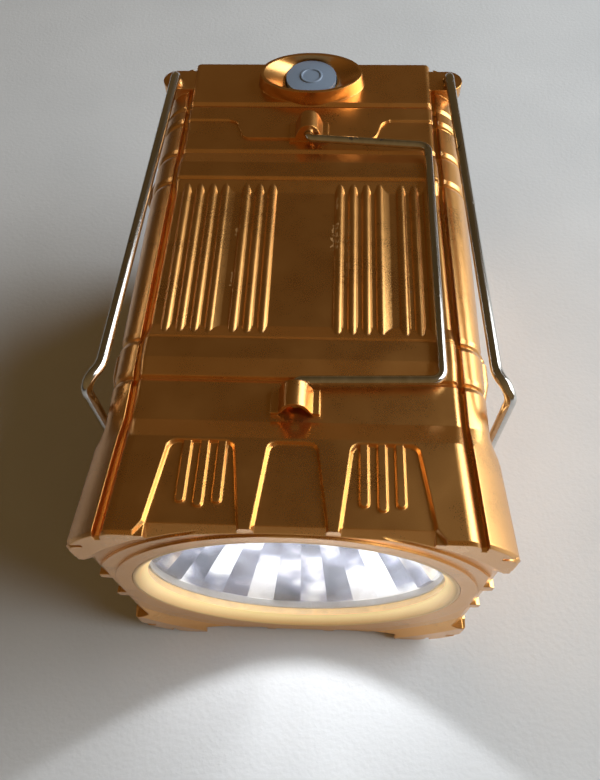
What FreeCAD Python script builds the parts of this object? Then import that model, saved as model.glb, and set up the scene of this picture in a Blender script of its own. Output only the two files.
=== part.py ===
"""Pull-up camping lantern with a torch in its flared base and a solar cap, lying on its back.

The lantern is drawn on its own axis: Y runs from the torch feet (Y = 0) to the solar end, X and Z are
square to the four side faces, and +Z is the front face with the button.  The four faces repeat by quarter
turns.  At the end every piece is moved so that the lowest middle point of the whole lantern is the origin.
All sizes are in millimetres.
"""
import FreeCAD
import Part
import math
import os
from FreeCAD import Vector

os.makedirs("parts", exist_ok=True)

# Overall sizes
LENGTH = 134.0                 # torch feet to solar end
BODY_HALF = 40.0               # axis to a face of the straight body
CAP_LENGTH = 17.0              # seam to solar end
CAP_RISE = 0.7                 # the cap stands this far out of the body
SHOULDER_RISE = 1.8            # the flared base stands this far out of the body at its top
FRONT_RISE = 3.4               # and this far at the feet
SEAM_GAP = 0.3
WALL = 2.4                     # moulded wall
FIT_GAP = 0.1                  # room between pieces that are fixed together
SEAM_Y = LENGTH - CAP_LENGTH   # middle of the gap between body and cap
CAP_HALF = BODY_HALF + CAP_RISE
SHOULDER_HALF = BODY_HALF + SHOULDER_RISE
FRONT_HALF = BODY_HALF + FRONT_RISE

# Corner section: rounded face edge, sunk groove and corner pillar
FRONT_CORNER = 8.8             # face edge to the plane of the next face, at the feet
BODY_CORNER = 6.8              # the same at the foot of the body
CAP_CORNER = 9.1               # the same at the cap
EDGE_ROUND = 1.5
BASE_EDGE_ROUND = 2.8
GROOVE_WIDTH = 1.1
GROOVE_DEPTH = 2.6
BASE_GROOVE_DEPTH = 3.4
PILLAR_SINK = 0.6              # edge of a pillar below the face
BASE_PILLAR_SINK = 1.2
CAP_PILLAR_SINK = 1.6
PILLAR_BULGE = 1.2
BASE_PILLAR_BULGE = 0.4
BEAD_NOTCH = 1.2               # depth of the notches that part the pillars into beads
BEAD_SHOULDER = 0.35           # depth where the rounded bead turns into the notch
BEAD_REACH = 1.5               # half length of such a notch
FRONT_BEVEL = 0.7              # bevel around the feet
FACE_EDGE_FRONT = FRONT_HALF - FRONT_CORNER
FACE_EDGE_BODY = BODY_HALF - BODY_CORNER
FACE_EDGE_CAP = CAP_HALF - CAP_CORNER
PILLAR_HALF = BODY_HALF - PILLAR_SINK

# Stations along the body
SHOULDER_Y = 20.4              # top edge of the flared base
BODY_Y = 24.9                  # foot of the shoulder bevel
LOWER_PANEL = 8.8              # plain panel between the shoulder and the lower collar
UPPER_PANEL = 10.1             # plain panel between the upper collar and the skirt
BAND_SLOPE = 3.2               # slope between ribbed panel and collar
COLLAR_FLAT = 4.8
COLLAR_FLARE = 3.9
NOTCH_LENGTH = 1.0
NOTCH_DEPTH = 0.8
COLLAR_RISE = 0.9
RIB_PANEL_SINK = 0.5
SKIRT_LENGTH = 5.6
SKIRT_RISE = 0.5
SKIRT_STEP = 0.4
SEAM_ROUND = 0.8
SKIRT_Y = SEAM_Y - SKIRT_LENGTH
COLLAR_LENGTH = BAND_SLOPE + NOTCH_LENGTH + COLLAR_FLAT + COLLAR_FLARE + 1.5 * NOTCH_LENGTH
BAND_MIDDLE_Y = (BODY_Y + LOWER_PANEL + SKIRT_Y - UPPER_PANEL) / 2
RIB_PANEL_HALF = BAND_MIDDLE_Y - BODY_Y - LOWER_PANEL - COLLAR_LENGTH

# Ribs of the ribbed panels
RIB_RADIUS = 1.15
RIB_PROUD = 0.75
RIB_PITCH = 3.14
RIB_FIRST = 8.1                # middle line to the first rib
RIB_GROUP_STEP = 14.5          # first rib of the inner group to first rib of the outer group
INNER_RIBS = 4
OUTER_RIBS = 3
RIB_HALF_STEP = 37.0           # the left half has the right half's ribs, moved by this much
FLANK_RUN = 3.1                # the last inner rib falls off to the panel over this width
FLANK_SAG = 0.14               # hollow of that flank
FLANK_ROOT = 0.1

# Windows of the flared base
WINDOW_SINK = 0.9
WINDOW_DRAFT = 0.4             # lean of the window's walls over its depth
WINDOW_TOP = 0.9               # shoulder edge to the far edge of a window
WINDOW_ROUND = 2.0
WINDOW_DEEP = 6.0              # the front bevel reaches down to this depth
SIDE_WINDOW_INNER = 11.4       # side window, inner edge at its far end
SIDE_WINDOW_OUTER = 24.0       # side window, outer edge at its far end
SIDE_WINDOW_INNER_FRONT = 9.1
SIDE_WINDOW_OUTER_FRONT = 26.2
SIDE_WINDOW_FLARE = 2.4        # the outer edge turns out by this much in front of the strip
MID_WINDOW_HALF = 4.6
MID_WINDOW_HALF_FRONT = 6.7
WINDOW_RIB_PITCH = 3.4
WINDOW_RIB_MIDDLE = 17.0
WINDOW_RIB_HALF = 1.05
WINDOW_RIB_DRAFT = 0.3
WINDOW_RIB_HEIGHT = 0.6
WINDOW_RIB_ROOT = 0.3
WINDOW_RIB_LENGTH = 13.4
WINDOW_RIB_EXTRA = 0.8         # the middle rib is longer by this much
STRIP_Y = 2.65                 # where the bevelled strip that joins the windows starts
STRIP_SLOPE = 1.45             # fall of the strip towards the front
LAND_END_Y = 1.6               # the lands between the windows reach over the strip to here

# Skirt tongue
TONGUE_LENGTH = 6.4
TONGUE_HALF = 15.0
TONGUE_WAVE = 5.5              # run of the wavy edge at each side
TONGUE_Y = SKIRT_Y - TONGUE_LENGTH

# Torch end
FEET_RADIUS = FRONT_HALF + 5.6     # the feet are flat outside this radius
RING_RADIUS = FRONT_HALF + 0.9     # outer ring step
STEP_RADIUS = FRONT_HALF - 2.7     # inner ring step
RING_FACE_Y = 1.2                  # outer edge of each leaning ring face
FEET_LEAN = 1.8                    # the feet lean in by this much towards the rings
RING_LEAN = 0.5
BEZEL_RADIUS = FRONT_HALF - 6.4
BEZEL_FACE_Y = 1.5
BEZEL_LIP = 0.6                    # flat front edge of the bezel
BEZEL_BORE = BEZEL_RADIUS - 3.1
BEZEL_SEAT_Y = 3.4                 # back of the bezel flange
BEZEL_BARREL = BEZEL_RADIUS - 0.8
BEZEL_END_Y = 12.4
LENS_Y = 3.8
LENS_THICKNESS = 1.8
LENS_RADIUS = BEZEL_RADIUS - 2.4
GASKET_THICKNESS = 1.6
GASKET_WIDTH = 0.7
FRONT_WALL_Y = 5.6             # inner side of the front wall
REFLECTOR_MOUTH = LENS_RADIUS - 1.6
REFLECTOR_THROAT = 5.4
REFLECTOR_DEPTH = 22.0
REFLECTOR_WALL = 1.2
REFLECTOR_FLANGE = 1.0
REFLECTOR_FACETS = 28
REFLECTOR_RINGS = 6
LED_BOARD_RADIUS = 9.5
LED_BOARD_THICKNESS = 1.6
LED_SIZE = 5.0
LED_THICKNESS = 1.0
LED_DOME_RADIUS = 2.1

# Partition between torch and lamp space
PARTITION_Y = 40.0
PARTITION_THICKNESS = 2.4
POST_RADIUS = 3.2
POST_OFFSET = BODY_HALF - 10.4
PILOT_RADIUS = 1.2
SCREW_RADIUS = 1.15
SCREW_HEAD_RADIUS = 2.4
SCREW_HEAD_HEIGHT = 1.4
SCREW_LENGTH = 9.0

# Lamp that pulls out with the cap
TUBE_RADIUS = BODY_HALF - 10.0
TUBE_WALL = 1.6
TUBE_GAP = 0.3                 # running gap of the tube in the guide ring
GUIDE_THICKNESS = 3.8
GUIDE_TOP_GAP = 0.3            # guide ring sits this far inside the mouth
FOOT_RADIUS = TUBE_RADIUS + 3.0
FOOT_GAP = 2.8                 # foot to the partition's screws
FOOT_Y = PARTITION_Y + PARTITION_THICKNESS + SCREW_HEAD_HEIGHT + FOOT_GAP
FOOT_THICKNESS = 3.4
FOOT_SPIGOT = 3.0
CONE_RADIUS = TUBE_RADIUS - 10.0
CONE_HEIGHT = 22.0
CONE_TIP = 1.5
LED_PLATE_RADIUS = TUBE_RADIUS - 6.0
LED_PLATE_THICKNESS = 1.6
LAMP_LED_SIZE = 5.0
LAMP_LED_HEIGHT = 1.6
LAMP_LED_CIRCLE = LED_PLATE_RADIUS - 8.0
LAMP_LED_COUNT = 6

# Cap
CAP_FLOOR_Y = SEAM_Y + 0.8
CAP_FLOOR_THICKNESS = 2.2
CAP_POST_OFFSET = CAP_HALF - 14.2
CAP_POST_RADIUS = 3.0
SOLAR_HALF = CAP_HALF - 12.7
SOLAR_THICKNESS = 0.9
SOLAR_COVER = 0.7
EAR_RADIUS = 3.7
EAR_THICKNESS = 3.6
EAR_TOP = CAP_HALF - 0.5       # axis to the outer side of an ear
PIVOT_X = CAP_HALF - 4.5
PIVOT_Y = LENGTH - 6.6
COLLAR_Y = LENGTH - 8.5        # middle of button and collar
COLLAR_LONG = 14.2             # half axes of the oval collar at its foot
COLLAR_SHORT = 8.1
COLLAR_DRAFT_LONG = 0.9        # the wall leans in by this much along X
COLLAR_DRAFT_SHORT = 0.2       # and by this much along Y
COLLAR_HEIGHT = 3.4
COLLAR_RIM = 0.8
COLLAR_DISH_FLOOR = 1.0        # height of the dish's inner edge above the face
DISH_LEDGE_LONG = 0.5          # flat ledge around the button's hole, along X
DISH_LEDGE_SHORT = 0.1         # and along Y
BUTTON_RADIUS = 6.6
BUTTON_GAP = 0.3
BUTTON_TOP = 2.4               # top of the button above the face
BUTTON_DOME = 0.4
BUTTON_THICKNESS = 3.5
BUTTON_TAB = 1.3               # tabs under the cap's wall keep the button in
BUTTON_TAB_HALF = 3.2
BUTTON_TAB_THICKNESS = 1.6
BUTTON_TAB_GAP = 0.3
BUTTON_STEM_HALF = 5.0
BUTTON_TRAVEL = 1.2
SWITCH_GAP = 0.2
SWITCH_SIZE = 6.0
SWITCH_HEIGHT = 3.6
BOARD_HALF = CAP_POST_OFFSET - 6.5
BOARD_LENGTH = 9.6
BOARD_THICKNESS = 1.6
CELL_HALF_X = CAP_POST_OFFSET - 6.5
CELL_HALF_Z = CAP_POST_OFFSET - 4.5
CELL_THICKNESS = 6.4
SOCKET_WIDTH = 13.4
SOCKET_HEIGHT = 6.0
SOCKET_DEPTH = 12.0
SOCKET_WALL = 0.6
SOCKET_GAP = 0.15

# Wire bails and front handle
BAIL_WIRE = 1.2                # wire radius
BAIL_HOLE_GAP = 0.08
BAIL_GAP = 0.1                 # bail leg to the cap's face
BAIL_LEG_Z = CAP_HALF + BAIL_WIRE + BAIL_GAP
BAIL_KNEE = (BODY_HALF + 0.2, BODY_Y + 11.1)   # X and Y where a leg kinks outwards
BAIL_END = (BODY_HALF + 3.0, BODY_Y + 6.3)     # X and Y of the crossbar
BAIL_PIN_BEND = 1.6
BAIL_KNEE_BEND = 6.0
BAIL_END_BEND = 3.4
PIN_STICK_OUT = 1.0            # bail pins reach this far past the ears
PIN_END_GAP = 0.3
HANDLE_WIRE = 1.0
HANDLE_HOLE_GAP = 0.08
HANDLE_GAP = 0.3               # folded handle to the collars
HANDLE_Z = BODY_HALF + COLLAR_RISE + HANDLE_GAP + HANDLE_WIRE  # hinge line of the front handle
HANDLE_REACH = BODY_HALF - 10.6
HANDLE_FAR_Y = TONGUE_Y - 2.0
HANDLE_FAR_DROP = 2.4          # the far leg leans towards the torch by this much
HANDLE_NEAR_Y = BODY_Y + 8.3
HANDLE_NEAR_RISE = 0.8
HANDLE_BEND = 2.4
LUG_RADIUS = 2.7
LUG_FOOT_HALF = 4.4
LUG_BASE_HALF = 4.9
LUG_BASE_HEIGHT = 1.1
LUG_LENGTH = 5.6
LUG_WALL = 0.8
LUG_HOLLOW = 2.6               # depth of the open outer end of a lug
LUG_GAP = 0.3                  # handle leg to lug
HANDLE_PIN = 4.4

X_AXIS = Vector(1, 0, 0)
Y_AXIS = Vector(0, 1, 0)
Z_AXIS = Vector(0, 0, 1)
ORIGIN = Vector(0, 0, 0)
QUARTERS = (0, 90, 180, 270)


def turned(shape, angle):
    """A copy of the shape turned about the lantern's axis."""
    copy = shape.copy()
    copy.rotate(ORIGIN, Y_AXIS, angle)
    return copy


def on_all_faces(shape):
    """The shape, drawn on the front face, repeated on the four faces."""
    return [turned(shape, angle) for angle in QUARTERS]


def mirrored_x(shape):
    return shape.mirror(ORIGIN, X_AXIS)


def disc(radius, y, length, x=0.0, z=0.0):
    """A round bar along Y that starts at y."""
    return Part.makeCylinder(radius, length, Vector(x, y, z), Y_AXIS)


def block(x, y, z):
    """A box from three (low, high) pairs."""
    size = Vector(x[1] - x[0], y[1] - y[0], z[1] - z[0])
    return Part.makeBox(size.x, size.y, size.z, Vector(x[0], y[0], z[0]))


def revolved(profile):
    """Full turn about the lantern's axis of a closed outline of (radius, y) points."""
    points = [Vector(radius, y, 0) for radius, y in profile]
    face = Part.Face(Part.makePolygon(points + points[:1]))
    return face.revolve(ORIGIN, Y_AXIS, 360)


def face_edge(y):
    """Half width of a side face: the body tapers a little towards the cap."""
    if y <= BODY_Y:
        return FACE_EDGE_FRONT + (FACE_EDGE_BODY - FACE_EDGE_FRONT) * y / BODY_Y
    along = min(1.0, (y - BODY_Y) / (SEAM_Y - BODY_Y))
    return FACE_EDGE_BODY + (FACE_EDGE_CAP - FACE_EDGE_BODY) * along


def section(y, half, pillar, bulge=PILLAR_BULGE, groove=GROOVE_DEPTH, edge_round=EDGE_ROUND):
    """Closed outline of the moulded square with grooved corner pillars, at one station."""
    edge = face_edge(y)
    near = edge + GROOVE_WIDTH
    floor = half - groove
    middle = (near + pillar) / 2 + bulge / math.sqrt(2)
    lean = edge_round * (1 - math.sqrt(0.5))
    corner = [
        ("line", (-edge + edge_round, half), (edge - edge_round, half)),
        ("arc", (edge - edge_round, half), (edge - lean, half - lean), (edge, half - edge_round)),
        ("line", (edge, half - edge_round), (edge, floor)),
        ("line", (edge, floor), (near, floor)),
        ("line", (near, floor), (near, pillar)),
        ("arc", (near, pillar), (middle, middle), (pillar, near)),
        ("line", (pillar, near), (floor, near)),
        ("line", (floor, near), (floor, edge)),
        ("line", (floor, edge), (half - edge_round, edge)),
        ("arc", (half - edge_round, edge), (half - lean, edge - lean), (half, edge - edge_round)),
    ]
    edges = []
    for angle in QUARTERS:
        turn = FreeCAD.Rotation(Y_AXIS, angle)
        for kind, *places in corner:
            points = [turn.multVec(Vector(across, y, out)) for across, out in places]
            curve = Part.LineSegment(*points) if kind == "line" else Part.Arc(*points)
            edges.append(curve.toShape())
    return Part.Wire(edges)


def moulding(stations):
    """Solid through square sections; each station holds the values that section() takes."""
    return Part.makeLoft([section(*station) for station in stations], True, True)


def along(profile, place):
    """Value at one place of a profile of (place, value) points."""
    for (start, low), (end, high) in zip(profile, profile[1:]):
        if place <= end:
            return low + (high - low) * (place - start) / (end - start)
    return profile[-1][1]


def cavity(y, length, half, corner):
    """Inner space with cut corners; corner is where the cut starts along each face."""
    outline = []
    for angle in QUARTERS:
        turn = FreeCAD.Rotation(Y_AXIS, angle)
        outline.append(turn.multVec(Vector(-corner, y, half)))
        outline.append(turn.multVec(Vector(corner, y, half)))
    face = Part.Face(Part.makePolygon(outline + outline[:1]))
    return face.extrude(Vector(0, length, 0))


def cavity_corner(y, outer, half, groove=GROOVE_DEPTH):
    """Where an inner space's corner cut starts, leaving the wall behind the corner grooves."""
    return face_edge(y) + outer - groove - WALL * math.sqrt(2) - half


def bent_wire(points, bends, radius):
    """Round wire through the points, with an arc of the given radius at each inner point."""
    runs = []
    last = points[0]
    for before, corner, after, bend in zip(points, points[1:], points[2:], bends):
        back = (before - corner).normalize()
        ahead = (after - corner).normalize()
        turn = math.pi - back.getAngle(ahead)
        reach = bend * math.tan(turn / 2)
        start = corner + back * reach
        axis = back.cross(ahead).normalize() * -1
        centre = start + axis.cross(back * -1) * bend
        section_face = Part.Face(Part.Wire(Part.Circle(start, back, radius).toShape()))
        runs.append(Part.makeCylinder(radius, last.distanceToPoint(start), last, back * -1))
        runs.append(section_face.revolve(centre, axis, math.degrees(turn)))
        last = corner + ahead * reach
    runs.append(Part.makeCylinder(radius, last.distanceToPoint(points[-1]), last, points[-1] - last))
    return runs[0].fuse(runs[1:]).removeSplitter()


# Body shell

def base_station(y, half):
    """Station of the flared base, with its rounder edges and flatter pillars."""
    return (y, half, half - BASE_PILLAR_SINK, BASE_PILLAR_BULGE, BASE_GROOVE_DEPTH, BASE_EDGE_ROUND)


def body_stations():
    """Stations of the straight body, with the two collars mirrored about the ribbed panel."""
    sunk = BODY_HALF - RIB_PANEL_SINK
    proud = BODY_HALF + COLLAR_RISE
    half_notch = NOTCH_LENGTH / 2
    inner = RIB_PANEL_HALF + BAND_SLOPE
    flat = inner + NOTCH_LENGTH
    outer = flat + COLLAR_FLAT + COLLAR_FLARE
    face = [(RIB_PANEL_HALF, sunk), (inner, proud - NOTCH_DEPTH / 2),
            (inner + half_notch, proud - NOTCH_DEPTH), (flat, proud),
            (flat + COLLAR_FLAT, proud), (outer, BODY_HALF),
            (outer + half_notch, BODY_HALF - NOTCH_DEPTH), (RIB_PANEL_HALF + COLLAR_LENGTH, BODY_HALF)]
    beads = [(RIB_PANEL_HALF, 0)]
    for middle in (inner + half_notch, outer + half_notch):
        beads += [(middle - BEAD_REACH, 0), (middle - half_notch, BEAD_SHOULDER), (middle, BEAD_NOTCH),
                  (middle + half_notch, BEAD_SHOULDER), (middle + BEAD_REACH, 0)]
    places = sorted({round(away, 6) for away, value in face + beads})
    steps = [(away, along(face, away), PILLAR_HALF - along(beads, away)) for away in places]
    near = [(BAND_MIDDLE_Y - away, half, pillar) for away, half, pillar in reversed(steps)]
    far = [(BAND_MIDDLE_Y + away, half, pillar) for away, half, pillar in steps]
    return near + far


def skirt_stations():
    """Stations of the skirt under the cap; the pillars are notched at its lower edge."""
    skirt_half = BODY_HALF + SKIRT_RISE
    return [(SKIRT_Y - BEAD_REACH, BODY_HALF, PILLAR_HALF), (SKIRT_Y, BODY_HALF, PILLAR_HALF - BEAD_NOTCH),
            (SKIRT_Y + SKIRT_STEP, skirt_half, PILLAR_HALF - BEAD_SHOULDER),
            (SKIRT_Y + BEAD_REACH, skirt_half, PILLAR_HALF),
            (BODY_END_Y - SEAM_ROUND, skirt_half, PILLAR_HALF),
            (BODY_END_Y, BODY_HALF, PILLAR_HALF - SEAM_ROUND)]


def base_slope():
    """Fall of the flared face per millimetre along Y."""
    return (FRONT_HALF - SHOULDER_HALF) / (SHOULDER_Y - FRONT_BEVEL)


def on_base_face(shape):
    """Tilt a shape drawn on Z = 0 onto the floor of the flared front face's windows."""
    shape.rotate(ORIGIN, X_AXIS, -math.degrees(math.atan(base_slope())))
    shape.translate(Vector(0, 0, FRONT_HALF + FRONT_BEVEL * base_slope() - WINDOW_SINK))
    return shape


def window_outline(sides, grow, z):
    """Outline of a recess with rounded far corners; sides are the X of its corners."""
    inner_front, inner, outer, outer_front, flared = sides
    far = SHOULDER_Y - WINDOW_TOP + grow
    round_y = far - WINDOW_ROUND
    lean = WINDOW_ROUND * (1 - math.sqrt(0.5))
    low = inner - grow
    high = outer + grow
    points = [Vector(inner_front - grow, -FRONT_BEVEL, z), Vector(low, round_y, z),
              Vector(low + lean, far - lean, z), Vector(low + WINDOW_ROUND, far, z),
              Vector(high - WINDOW_ROUND, far, z), Vector(high - lean, far - lean, z),
              Vector(high, round_y, z), Vector(outer_front + grow, STRIP_Y, z),
              Vector(flared + grow, -FRONT_BEVEL, z)]
    curves = [Part.LineSegment(points[0], points[1]), Part.Arc(points[1], points[2], points[3]),
              Part.LineSegment(points[3], points[4]), Part.Arc(points[4], points[5], points[6]),
              Part.LineSegment(points[6], points[7]), Part.LineSegment(points[7], points[8]),
              Part.LineSegment(points[8], points[0])]
    return Part.Wire([curve.toShape() for curve in curves])


def front_wedge(back_y):
    """Space in front of the bevelled strip, from the given Y on."""
    floor = FRONT_HALF - WINDOW_SINK - (STRIP_Y - FRONT_BEVEL) * base_slope()
    top = FRONT_HALF + WALL
    width = SIDE_WINDOW_OUTER_FRONT

    def strip_z(y):
        return floor - (STRIP_Y - y) * STRIP_SLOPE

    outline = [Vector(-width, back_y, strip_z(back_y)), Vector(-width, -FRONT_BEVEL, strip_z(-FRONT_BEVEL)),
               Vector(-width, -FRONT_BEVEL, top), Vector(-width, back_y, top)]
    return Part.Face(Part.makePolygon(outline + outline[:1])).extrude(Vector(2 * width, 0, 0))


def base_windows():
    """The three recesses of one face, with the bevelled strip that joins them at the front."""
    side = (SIDE_WINDOW_INNER_FRONT, SIDE_WINDOW_INNER, SIDE_WINDOW_OUTER, SIDE_WINDOW_OUTER_FRONT,
            SIDE_WINDOW_OUTER_FRONT + SIDE_WINDOW_FLARE)
    middle = (-MID_WINDOW_HALF_FRONT, -MID_WINDOW_HALF, MID_WINDOW_HALF, MID_WINDOW_HALF_FRONT,
              MID_WINDOW_HALF_FRONT)
    cuts = [front_wedge(LAND_END_Y)]
    for sides in (side, middle):
        floor = window_outline(sides, 0, 0)
        mouth = window_outline(sides, 3 * WINDOW_DRAFT, 3 * WINDOW_SINK)
        recess = on_base_face(Part.makeLoft([floor, mouth], True, True))
        deep = Part.Face(window_outline(sides, 0, -WINDOW_DEEP)).extrude(Vector(0, 0, 2 * WINDOW_DEEP))
        cuts += [recess, on_base_face(deep).common(front_wedge(STRIP_Y))]
        if sides is side:
            cuts += [mirrored_x(cut) for cut in cuts[-2:]]
    return cuts


def window_rib(x, low, high):
    """Flat-topped bar with a round lower end, drawn on Z = 0."""
    round_y = low + WINDOW_RIB_HALF

    def outline(half, z):
        left = Vector(x - half, round_y, z)
        right = Vector(x + half, round_y, z)
        left_end = Vector(x - half, high, z)
        right_end = Vector(x + half, high, z)
        curves = [Part.LineSegment(left_end, left), Part.Arc(left, Vector(x, round_y - half, z), right),
                  Part.LineSegment(right, right_end), Part.LineSegment(right_end, left_end)]
        return Part.Wire([curve.toShape() for curve in curves])

    return Part.makeLoft([outline(WINDOW_RIB_HALF, -WINDOW_RIB_ROOT),
                          outline(WINDOW_RIB_HALF - WINDOW_RIB_DRAFT, WINDOW_RIB_HEIGHT)], True, True)


def base_window_ribs():
    """Three round-ended ribs in each side window of one face."""
    ribs = []
    far = SHOULDER_Y - WINDOW_TOP / 2
    for side in (-1, 1):
        for step in (-1, 0, 1):
            length = WINDOW_RIB_LENGTH + (WINDOW_RIB_EXTRA if step == 0 else 0)
            x = side * (WINDOW_RIB_MIDDLE + step * WINDOW_RIB_PITCH)
            ribs.append(on_base_face(window_rib(x, far - length, far)))
    return ribs


def rib_flank(x, y, length):
    """Wide hollow flank at the right of a rib that stands at x."""
    floor = BODY_HALF - RIB_PANEL_SINK
    root = floor - WALL / 2
    crest = Vector(x, y, floor + RIB_PROUD)
    end = Vector(x + FLANK_RUN, y, floor - FLANK_ROOT)
    middle = (crest + end) / 2 - Vector(0, 0, FLANK_SAG)
    corners = [end, Vector(end.x, y, root), Vector(x, y, root), crest]
    edges = [Part.Arc(crest, middle, end).toShape()]
    edges += [Part.LineSegment(start, stop).toShape() for start, stop in zip(corners, corners[1:])]
    return Part.Face(Part.Wire(edges)).extrude(Vector(0, length, 0))


def panel_ribs():
    """Groups of four and three ribs in each half of one panel; they run out into the panel's slopes."""
    z = BODY_HALF - RIB_PANEL_SINK + RIB_PROUD - RIB_RADIUS
    length = 2 * (RIB_PANEL_HALF + BAND_SLOPE)
    low = BAND_MIDDLE_Y - length / 2
    ribs = []
    for first in (RIB_FIRST - RIB_HALF_STEP, RIB_FIRST):
        inner = [first + step * RIB_PITCH for step in range(INNER_RIBS)]
        outer = [first + RIB_GROUP_STEP + step * RIB_PITCH for step in range(OUTER_RIBS)]
        ribs += [disc(RIB_RADIUS, low, length, x, z) for x in inner + outer]
        ribs.append(rib_flank(inner[-1], low, length))
    return ribs


def skirt_tongue():
    """Raised tongue with wavy edges that hangs from the skirt over the middle of one face."""
    wide = TONGUE_HALF + TONGUE_WAVE
    half_run = TONGUE_WAVE / 2
    top = SKIRT_Y + SKIRT_STEP

    def wave(side):
        ends = [Vector(side * wide, SKIRT_Y, 0),
                Vector(side * (wide - half_run), (SKIRT_Y + TONGUE_Y) / 2, 0),
                Vector(side * TONGUE_HALF, TONGUE_Y, 0)]
        curve = Part.BSplineCurve()
        curve.interpolate(ends, InitialTangent=Vector(-side, 0, 0), FinalTangent=Vector(-side, 0, 0))
        return curve.toShape()

    def straight(start, end):
        return Part.LineSegment(Vector(*start, 0), Vector(*end, 0)).toShape()

    outline = [straight((-wide, top), (-wide, SKIRT_Y)), wave(-1),
               straight((-TONGUE_HALF, TONGUE_Y), (TONGUE_HALF, TONGUE_Y)), wave(1),
               straight((wide, SKIRT_Y), (wide, top)), straight((wide, top), (-wide, top))]
    face = Part.Face(Part.Wire(Part.sortEdges(outline)[0]))
    face.translate(Vector(0, 0, BODY_HALF - WALL / 2))
    return face.extrude(Vector(0, 0, WALL / 2 + SKIRT_RISE))


def lug_arch(radius, foot_half, foot_z, y, length):
    """Half-round arch around the handle's hinge line, on sloping sides."""
    drop = HANDLE_Z - foot_z
    touch = math.atan2(foot_half, -drop) - math.acos(radius / math.hypot(foot_half, drop))
    x = radius * math.sin(touch)
    z = HANDLE_Z + radius * math.cos(touch)
    edges = [Part.LineSegment(Vector(-foot_half, y, foot_z), Vector(-x, y, z)).toShape(),
             Part.Arc(Vector(-x, y, z), Vector(0, y, HANDLE_Z + radius), Vector(x, y, z)).toShape(),
             Part.LineSegment(Vector(x, y, z), Vector(foot_half, y, foot_z)).toShape(),
             Part.LineSegment(Vector(foot_half, y, foot_z), Vector(-foot_half, y, foot_z)).toShape()]
    return Part.Face(Part.Wire(edges)).extrude(Vector(0, length, 0))


def handle_lug(y):
    """Arched lug on a flat base, for one end of the front handle."""
    root = BODY_HALF - WALL / 2
    base = block((-LUG_BASE_HALF, LUG_BASE_HALF), (y, y + LUG_LENGTH), (root, BODY_HALF + LUG_BASE_HEIGHT))
    return lug_arch(LUG_RADIUS, LUG_FOOT_HALF, root, y, LUG_LENGTH).fuse(base)


def lug_hollow(y):
    """Open outer end of a lug, in which the handle's pin ends."""
    return lug_arch(LUG_RADIUS - LUG_WALL, LUG_FOOT_HALF - LUG_WALL, BODY_HALF, y, LUG_HOLLOW)


def upper_lug_y():
    return HANDLE_FAR_Y + HANDLE_WIRE + LUG_GAP


def lower_lug_y():
    return HANDLE_NEAR_Y - HANDLE_WIRE - LUG_GAP - LUG_LENGTH


BODY_CAVITY_HALF = BODY_HALF - RIB_PANEL_SINK - WALL
BASE_CAVITY_HALF = SHOULDER_HALF - WINDOW_SINK - WALL
BODY_END_Y = SEAM_Y - SEAM_GAP / 2
CAP_START_Y = SEAM_Y + SEAM_GAP / 2
BODY_CAVITY_CORNER = cavity_corner(BODY_END_Y, BODY_HALF, BODY_CAVITY_HALF)
BASE_CAVITY_CORNER = cavity_corner(SHOULDER_Y, SHOULDER_HALF, BASE_CAVITY_HALF, BASE_GROOVE_DEPTH)
POSTS = [(x * POST_OFFSET, z * POST_OFFSET) for x in (-1, 1) for z in (-1, 1)]
CAP_POSTS = [(x * CAP_POST_OFFSET, z * CAP_POST_OFFSET) for x in (-1, 1) for z in (-1, 1)]


def front_rings():
    """Space in front of the torch end: each ring face leans in and the next one stands proud of it."""
    return revolved([(LENS_RADIUS, -WALL), (FEET_RADIUS, -WALL), (FEET_RADIUS, 0), (RING_RADIUS, FEET_LEAN),
                     (RING_RADIUS, RING_FACE_Y), (STEP_RADIUS, RING_FACE_Y + RING_LEAN),
                     (STEP_RADIUS, RING_FACE_Y), (BEZEL_RADIUS, BEZEL_FACE_Y), (LENS_RADIUS, BEZEL_FACE_Y)])


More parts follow.
